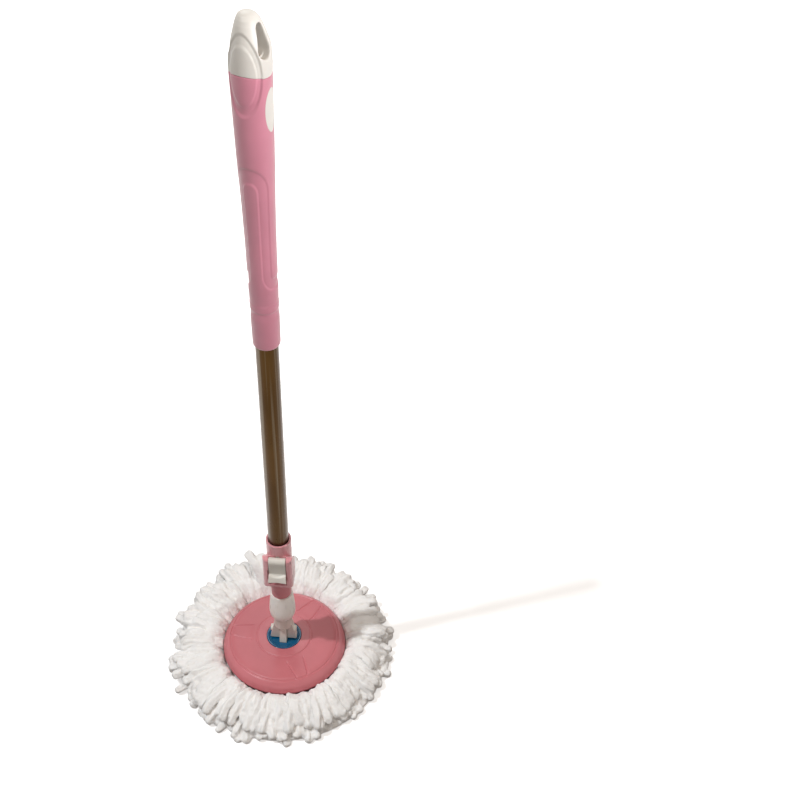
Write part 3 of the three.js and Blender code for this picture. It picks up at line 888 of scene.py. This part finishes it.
def ferrule_screw():
    """A small pan-head screw into the back of the ferrule."""
    outline = [[0, 6], [1.1, 6], [1.5, 6.6], [1.5, 13.1], [3, 13.1], [3, 13.8], [2.5, 14.4],
               [1.4, 14.6], [0, 14.6]]
    screw = turned("ferrule_screw_cut", outline, 40)
    cut(screw, *cross_recess(1.6, 0.3, 14.0, 16))
    set_coordinates(screw, coordinates(screw)[:, [0, 2, 1]] * [1, 1, -1] + [0, 0, FERRULE_SCREW_HEIGHT])
    outward(screw)
    add(sharpen(screw), "spindle", "bright_steel", "ferrule_screw")


def drawn_tube(name, node, wall, body, slot):
    """A thin steel tube with eased ends."""
    radius = high(node)[0]
    bottom, top = ends(node)
    outline = rounded(rectangle(radius - wall, radius, bottom, top), 0.2, 4)
    add(turned(name, outline, 144), body, slot, node)


# ---- handle
GRIP_TURN = math.radians(-17.5)
GRIP_BORE = 12.8
# Radius and height of the grip's skin from its foot to the seam.
GRIP_OUTLINE = (
    (14.1, 551), (14.75, 552.4), (14.9, 560), (15.1, 581), (15.2, 600), (15.3, 612), (15.4, 634),
    (15.8, 684), (16.7, 732), (18.15, 778), (19.1, 822), (20.0, 872), (20.1, 880),
)
BAND = {"ends": (752, 649.5), "corners": (12.0, 9.0), "stretch": (1.6, 1.3), "half": 5.8,
        "depth": 0.85, "radius": 16.5}
DISH = {"height": 878, "tall": 41, "wide": 20.5, "sunk": 0.65, "groove": 0.65}
BADGE = {"half": 9.8, "tall": 24.6, "height": 839.8}
POCKET_MARGIN, POCKET_DEPTH = -1.4, 2.2


def grip_radius(z):
    """Radius of the plain grip: the outline, smoothed everywhere but at its ends."""
    radii, heights = zip(*GRIP_OUTLINE)
    fine = np.arange(540.0, 892.0, 0.5)
    padded = np.pad(np.interp(fine, heights, radii), 8, mode="edge")
    smooth = np.convolve(padded, np.full(17, 1 / 17), "valid")
    plain = np.interp(z, heights, radii)
    share = smoothstep(z, 553, 561) * (1 - smoothstep(z, 868, 876))
    return plain + share * (np.interp(z, fine, smooth) - plain)


def bead(z):
    """A ring low on the grip, left standing by a shallow dip above it and a deeper one below."""
    above = 0.3 * smoothstep(z, 609.2, 611.0) * (1 - smoothstep(z, 611.0, 628))
    below = 0.7 * smoothstep(z, 602.2, 599.6) * smoothstep(z, 588, 599.6)
    return -above - below


def seam_dip(angle):
    """How far the seam between grip and cap drops below the grip's top: most at the sides."""
    return 1.4 + 4.4 * np.sin(angle) ** 2


def fold(angle):
    """Angle from the nearer of the front and back faces, from 0 to a quarter turn."""
    return np.abs((angle + np.pi / 2) % np.pi - np.pi / 2)


def band(angle, z):
    """The sunk band that runs up the four diagonals and turns over the front and under the sides."""
    quarter = BAND["radius"] * np.pi / 4
    high_end, low_end = BAND["ends"]
    upper = z > (high_end + low_end) / 2
    corner = np.where(upper, *BAND["corners"])
    across = BAND["radius"] * fold(angle)
    rest = np.where(upper, across, 2 * quarter - across) - (quarter - corner)
    rise = np.where(upper, z - high_end, low_end - z) / np.where(upper, *BAND["stretch"])
    turn = np.hypot(np.maximum(rest, 0), np.maximum(rise, 0)) - corner
    distance = np.where(rise > 0, np.abs(turn), np.abs(rest - corner))
    half = BAND["half"]
    return -BAND["depth"] * (1 - smoothstep(distance, half - 1.6, half + 0.5))


def dish(angle, z, radius):
    """The lens on the front and back faces: a sunk pad with a groove round it, across the seam."""
    across = fold(angle) * radius / DISH["wide"]
    up = (z - DISH["height"]) / DISH["tall"]
    reach = np.hypot(across, up) + 0.07 * across ** 2 * np.abs(up)
    wall = smoothstep(reach, 1.05, 0.93)
    pad = smoothstep(reach, 0.80, 0.69)
    return -(DISH["sunk"] + DISH["groove"]) * wall + DISH["groove"] * pad


def oval_reach(angle, z, radius, margin):
    """1 on the edge of the badge's oval, and less inside it."""
    across = (np.pi / 2 - fold(angle)) * radius
    return np.hypot(across / (BADGE["half"] + margin), (z - BADGE["height"]) / (BADGE["tall"] + margin))


def grip():
    """The long tapered grip, with its sunk band, dish, bead and badge pockets."""
    bottom, top = ends("grip")
    sides = 208
    heights = np.concatenate([np.linspace(bottom, 556, 12), np.arange(557, 597, 1.0),
                              np.arange(597, 614, 0.5), np.arange(614, top - 1.5, 0.9),
                              np.linspace(top - 1.2, top, 5)])
    angle = np.linspace(0, 2 * np.pi, sides, endpoint=False)
    around, z = np.meshgrid(angle, heights)
    around, z = around.ravel(), z.ravel()
    radius = grip_radius(z)
    pocket = 1 - smoothstep(oval_reach(around, z, radius, POCKET_MARGIN), 0.985, 1.015)
    lowered = z - seam_dip(around) * smoothstep(z, 850, top)
    depth = band(around, z) + dish(around, lowered, radius) + bead(z)
    depth -= POCKET_DEPTH * pocket
    depth -= 0.5 * smoothstep(z, top - 0.6, top)
    radius = radius + depth
    skin = np.stack([radius * np.sin(around), -radius * np.cos(around), lowered], 1)
    inner = [np.stack([GRIP_BORE * np.sin(angle), -GRIP_BORE * np.cos(angle), height], 1)
             for height in (top - seam_dip(angle), bottom + 0 * angle)]
    vertices = spin_about_z(np.vstack([skin, *inner]), GRIP_TURN)
    faces = quad_grid(len(heights) + 2, sides, wrap_rows=True)
    piece = sharpen(new_object("grip_moulded", vertices, faces), 50)
    add(piece, "handle", "grip_pink", "grip")


def badge(side, name, node):
    """An oval inlay that follows the grip's curve; its edges dip under the skin round its pocket."""
    rows, columns = 26, 96
    around = np.linspace(0, 2 * np.pi, columns, endpoint=False)
    share = np.concatenate([np.linspace(0.02, 0.9, rows - 8), np.linspace(0.92, 1.0, 8)])
    grid, turn = np.meshgrid(share, around, indexing="ij")
    z = BADGE["height"] + BADGE["tall"] * grid * np.sin(turn)
    radius = grip_radius(z)
    angle = BADGE["half"] * grid * np.cos(turn) / radius
    top = radius + 0.1 - 0.35 * smoothstep(grid, 0.88, 1.0) ** 2
    under = radius - 1.9
    layers = []
    for reach, order in ((top, slice(None)), (under, slice(None, None, -1))):
        layers.append(polar(reach, angle, z)[order].reshape(-1, 3))
    vertices = spin_about_z(np.vstack(layers) * [side, 1, 1], GRIP_TURN)
    piece = sharpen(new_object(name, vertices, closed_grid(2 * rows, columns)), 50)
    add(piece, "handle", "white_plastic", node)


# Height, half-width towards the eye's faces, half-width across them, and lean towards the right face.
CAP_SECTIONS = (
    (880.3, 20.1, 20.1, 0), (888, 20.3, 20.2, 0.3), (896, 19.8, 19.9, 0.8), (904, 18.5, 19.2, 1.0),
    (911, 16.2, 18.0, 0.6), (918, 13.9, 15.9, 0.3), (924, 12.0, 13.7, 0.0), (928.5, 10.0, 11.2, -0.4),
    (931.2, 8.0, 8.6, -1.1), (932.6, 5.6, 5.8, -1.5), (933, 2.6, 2.6, -1.7),
)
# Height, radius and shift from the middle of each end of the teardrop eye.
EYE = {"bottom": (901.6, 7.3, -4.6), "top": (920.6, 4.6, -1.5)}


def eye_outline():
    """The eye's two end arcs, which the outline joins by their common tangents."""
    (low_height, low_radius, low_shift), (high_height, high_radius, high_shift) = EYE["bottom"], EYE["top"]
    across, up = high_shift - low_shift, high_height - low_height
    slope = math.degrees(math.asin((low_radius - high_radius) / math.hypot(across, up)))
    tilt = -math.degrees(math.atan2(across, up))
    return (arc(low_shift, low_height, low_radius, 180 - slope + tilt, 360 + slope + tilt, 28)
            + arc(high_shift, high_height, high_radius, slope + tilt, 180 - slope + tilt, 24))


def end_cap():
    """The cap: a round foot that flattens to a wedge, with a teardrop eye through it."""
    heights, half_x, half_y, lean = np.array(CAP_SECTIONS).T
    fine = np.unique(np.concatenate([np.linspace(heights[0], 926, 70), np.linspace(926, heights[-1], 36)]))
    half_x, half_y, lean = (np.interp(fine, heights, row)[:, None] for row in (half_x, half_y, lean))
    sides = 128
    angle = np.linspace(0, 2 * np.pi, sides, endpoint=False)
    x = half_x * np.sin(angle) + lean
    y = -half_y * np.cos(angle)
    vertices = np.stack([x, y, fine[:, None] + 0 * angle], -1).reshape(-1, 3)
    cap = new_object("end_cap_moulded", vertices, closed_grid(len(fine), sides))
    combine(cap, [cylinder(11.5, 873.5, 882, 96)], "UNION")
    cut(cap, prism(eye_outline(), "x", -30, 30))
    moulded(cap, 0.4, 8)
    soften_near(cap, eye_distance, 5.5, 80)
    points = coordinates(cap)
    reach = np.hypot(points[:, 0], points[:, 1])
    around = np.arctan2(points[:, 0], -points[:, 1])
    skin = smoothstep(reach, 12.4, 13.4) * smoothstep(eye_distance(points), 0.5, 2.0)
    lowered = points[:, 2] - seam_dip(around) * smoothstep(points[:, 2], 900, 880.5)
    share = dish(around, lowered, 20.0) * skin
    points += points * [1, 1, 0] / np.maximum(reach, 1)[:, None] * share[:, None]
    points[:, 2] += (lowered - points[:, 2]) * smoothstep(reach, 12.9, 14.0)
    set_coordinates(cap, spin_about_z(points, GRIP_TURN))
    add(cap, "handle", "white_plastic", "end_cap")


def eye_distance(points):
    """Distance from the eye's outline, seen along its axis."""
    low_end, high_end = np.array(EYE["bottom"]), np.array(EYE["top"])
    share = np.clip((points[:, 2] - low_end[0]) / (high_end[0] - low_end[0]), 0, 1)
    middle, radius, shift = (low_end + share[:, None] * (high_end - low_end)).T
    return np.abs(np.hypot(points[:, 1] - shift, points[:, 2] - middle) - radius)


def soften_near(piece, distance, width, passes):
    """Rounds over the edges that lie within a width of an outline."""
    near = 1 - smoothstep(distance(coordinates(piece)), 0.4 * width, width)
    group = piece.vertex_groups.new(name="near")
    for index in np.nonzero(near > 0.01)[0]:
        group.add([int(index)], float(near[index]), "REPLACE")
    soften(piece, passes, group.name)
    settle(piece)
    piece.vertex_groups.clear()


# The lever's pivot in Y and Z, and the bore that its pin runs through.
PIVOT = (-18.9, 214.5)
PIVOT_BORE = 1.8
# The channel that the lever lies in, and the wider room for fingers beside its tab.
CHANNEL_HALF = 10.9
FINGER_ROOM_HALF = 12.3
COLLAR_RADIUS, COLLET_BORE, FERRULE_BORE = 15.5, 14.2, 11.7


def collar():
    """The clamping collar: a sleeve, and a block whose cheeks stand on each side of the lever."""
    bottom, top = ends("collar")
    half, front = high("collar")[0], -low("collar")[1]
    shoulder = bottom + 50.8
    grasp = high("outer_tube")[0] + 0.25
    sleeve = cylinder(COLLAR_RADIUS, bottom, top, 128, "collar_moulded")
    side = rounded([[-front, bottom, 2.5], [-front, shoulder - 2.5, 4], [-front + 3, shoulder, 3],
                    [-15, shoulder, 4], [-2, 207, 8], [3, 200, 6], [3, bottom, 0.2]], 2, 6)
    wide = half - 0.8
    plan = rounded([[-wide, 3, 1], [-wide, -front, 7.5], [wide, -front, 7.5], [wide, 3, 1]], 3, 10)
    block = prism(side, "x", -half - 1, half + 1)
    combine(block, [prism(plan, "z", 150, 240)], "INTERSECT")
    channel = rounded(rectangle(-CHANNEL_HALF, CHANNEL_HALF, 174, 240), 1.0, 4)
    finger_room = rounded(rectangle(-FINGER_ROOM_HALF, FINGER_ROOM_HALF, 182, 202), 3.5, 6)
    cut(block, prism(channel, "y", -30, -15.5))
    cut(block, prism(finger_room, "y", -30, -15.5))
    combine(sleeve, [block], "UNION")
    window = rectangle(-CHANNEL_HALF, CHANNEL_HALF, -30, -14.2)
    tube_bore = [[0, 200], [grasp, 200], [grasp, top - 0.9], [grasp + 1, top + 1], [0, top + 1]]
    cut(
        sleeve,
        prism(window, "z", 207, 219.4),
        turned("tube_bore", tube_bore, 128),
        cylinder(COLLET_BORE, bottom + 1.2, 222, 128),
        cylinder(FERRULE_BORE, bottom - 1, bottom + 5, 128),
        rod_shape("x", PIVOT_BORE, -17, 17, *PIVOT),
    )
    moulded(sleeve, 0.36, 3)
    # The collar wears the lighter copy of the rose, a painted highlight.
    add(sleeve, "handle", "plate_rose", "collar", look="collar_rose_painted_highlight")


def lock_lever():
    """The cam lever: a round head, a sunk face that ends in an arc, and a flared thumb tab."""
    y, z = PIVOT
    half = 10.5
    side = arc(y, z, 4.7, 180, 0, 24) + [[y + 2.6, 207], [y - 0.6, 200], [-20.6, 193], [-24.4, 184.4],
                                         [-27.0, 181.8], [-28.7, 183.8], [-25.4, 190.6], [-23.6, 193.5]]
    lever = prism(rounded(side, 1.2, 5), "x", -13, 13, "lock_lever_moulded")
    front = rounded([[-half, 225, 2.0], [-half, 190, 8], [-11.5, 181, 1.2], [-11.5, 178, 0.5],
                     [-4.5, 183.9, 3], [4.5, 183.9, 3],
                     [11.5, 178, 0.5], [11.5, 181, 1.2], [half, 190, 8], [half, 225, 2.0]], 1, 8)
    combine(lever, [prism(front, "y", -40, -5)], "INTERSECT")
    cut(lever, rod_shape("x", PIVOT_BORE, -15, 15, y, z))
    moulded(lever, 0.27, 4)
    points = coordinates(lever)
    face = (points[:, 1] < -22.3) & (points[:, 2] < 212)
    arc_edge = 190.6 + 2.6 * (points[:, 0] / half) ** 2
    above = smoothstep(points[:, 2], arc_edge - 0.5, arc_edge + 0.9)
    slope = 0.9 + 1.4 * smoothstep(points[:, 2], 212, 192)
    points[:, 1] += np.where(face, slope * above * smoothstep(points[:, 2], 212.5, 210.5), 0)
    hollow = (1 - (points[:, 0] / 12.5) ** 2) * (1 - smoothstep(points[:, 2], 183, 191))
    points[:, 1] += 0.9 * np.clip(hollow, 0, 1)
    set_coordinates(lever, points)
    add(lever, "lever", "white_plastic", "lock_lever")


# ---- CAD pieces that stay
def finish_hidden_parts():
    """Gives each CAD node that still shows the procedural material of its slot."""
    slots = {part["node"]: part["material_slot"] for part in frame["record"]["subparts"]}
    for node, piece in frame["nodes"].items():
        if not piece.hide_render:
            piece.data.materials.clear()
            piece.data.materials.append(MATERIALS[slots[node]])


# ---- stage, camera and lights
FLOOR_HALF, WALL_RADIUS, WALL_HEIGHT = 6000, 5900, 4500


def white_stage(piece, tones, glow, shine):
    """Gives a stage piece a faintly mottled white that glows a little and doesn't light the mop."""
    s = Shader(piece.name)
    s.set(Base_Color=s.ramp(s.noise(3.0), (0.3, tones[0]), (0.7, tones[1])), Roughness=0.95)
    s.set(Specular_IOR_Level=shine, Emission_Color=grey(1.0), Emission_Strength=glow)
    piece.data.materials.append(s.material)
    piece.visible_diffuse = False


def floor():
    corners = [[x, y, 0] for x, y in rectangle(-FLOOR_HALF, FLOOR_HALF, -FLOOR_HALF, FLOOR_HALF)]
    white_stage(new_object("floor", corners, [(0, 1, 2, 3)], smooth=False), (0.93, 0.95), 0.45, 0.05)


def backdrop():
    """A round white wall, seen from the side views; it neither lights nor shades the mop."""
    circle = np.array(arc(0, 0, WALL_RADIUS, 0, 360, 96)[:-1])
    rows = [np.column_stack([circle, np.full(len(circle), z)]) for z in (-10, WALL_HEIGHT)]
    wall = new_object("backdrop", np.vstack(rows), quad_grid(2, len(circle)))
    wall.visible_shadow = False
    white_stage(wall, (0.9, 0.94), 1.0, 0.5)


def world(level, color):
    made = bpy.data.worlds.new("studio")
    made.use_nodes = True
    sky = made.node_tree.nodes["Background"].inputs
    sky["Color"].default_value = (*color, 1)
    sky["Strength"].default_value = level
    bpy.context.scene.world = made


def light(name, kind, position, target, power, color, **settings):
    """Places a light and points it at the target. The settings are the light's own, such as its size."""
    lamp = bpy.data.lights.new(name, kind)
    lamp.energy = power
    lamp.color = color
    for setting, value in settings.items():
        setattr(lamp, setting, value)
    holder = bpy.data.objects.new(name, lamp)
    holder.location = position
    holder.rotation_euler = (Vector(target) - Vector(position)).to_track_quat("-Z", "Y").to_euler()
    bpy.context.scene.collection.objects.link(holder)


def lights():
    """A warm room and ceiling, a cool window at the right, a glint from behind, a hard lamp at the left."""
    world(0.215, (1.0, 0.9, 0.82))
    light("window", "AREA", (1.0, -0.5, 1.1), (0, 0, 1.1), 3.5, (0.97, 0.97, 1.0), size=0.7,
          spread=math.radians(80))
    light("glint", "AREA", (-0.25, 1.2, 1.65), (0, 0, 0.05), 2.5, (1, 1, 1), size=0.35)
    light("ceiling", "SUN", (0.3, -0.2, 1.0), (0, 0, 0), 0.85, (1.0, 0.9, 0.8), angle=math.radians(75))
    light("lamp", "SUN", (-0.44, -0.17, 0.95), (0, 0, 0), 1.6, (0.95, 0.98, 1.0), angle=math.radians(2.5))
    bpy.context.scene.view_settings.view_transform = "Standard"


def camera():
    """A 63 mm lens from above the front right, tilted down and rolled a little."""
    bearing, distance, height = math.radians(10.5), 1.1273, 1.5223
    heading, pitch, roll = math.radians(3.201), math.radians(43.2), math.radians(1.6)
    data = bpy.data.cameras.new("camera")
    data.sensor_width = 36
    data.lens = 62.69
    data.clip_end = 50
    view = bpy.data.objects.new("camera", data)
    place = Matrix.Translation((distance * math.sin(bearing), -distance * math.cos(bearing), height))
    turn = Matrix.Rotation(heading, 4, "Z") @ Matrix.Rotation(math.pi / 2 - pitch, 4, "X")
    view.matrix_world = place @ turn @ Matrix.Rotation(roll, 4, "Z")
    bpy.context.scene.collection.objects.link(view)
    bpy.context.scene.camera = view


def build():
    camera()
    refill_ring()
    for index in range(BUNDLES):
        yarn_bundle(index)
    for part in (plate_cover, plate_base, plate_hub, hub_post):
        part()
    for index, angle in enumerate(SCREW_ANGLES):
        plate_screw(index, angle)
    fork()
    steel_pin("hinge_pin", "spindle", (2.0, 1.5), 0.5, (0, HINGE_HEIGHT), 48)
    bulb_sleeve()
    ferrule()
    ferrule_screw()
    drawn_tube("inner_tube_drawn", "inner_tube", 0.7, "spindle", "bright_steel")
    drawn_tube("outer_tube_polished", "outer_tube", 0.5, "handle", "tube_steel")
    grip()
    badge(-1, "badge_inlay_left", "badge_left")
    badge(1, "badge_inlay_right", "badge_right")
    end_cap()
    collar()
    steel_pin("lever_pin", "handle", (1.5, 1.2), 0.4, PIVOT, 40)
    lock_lever()
    finish_hidden_parts()
    for part in (floor, backdrop, lights):
        part()


build()
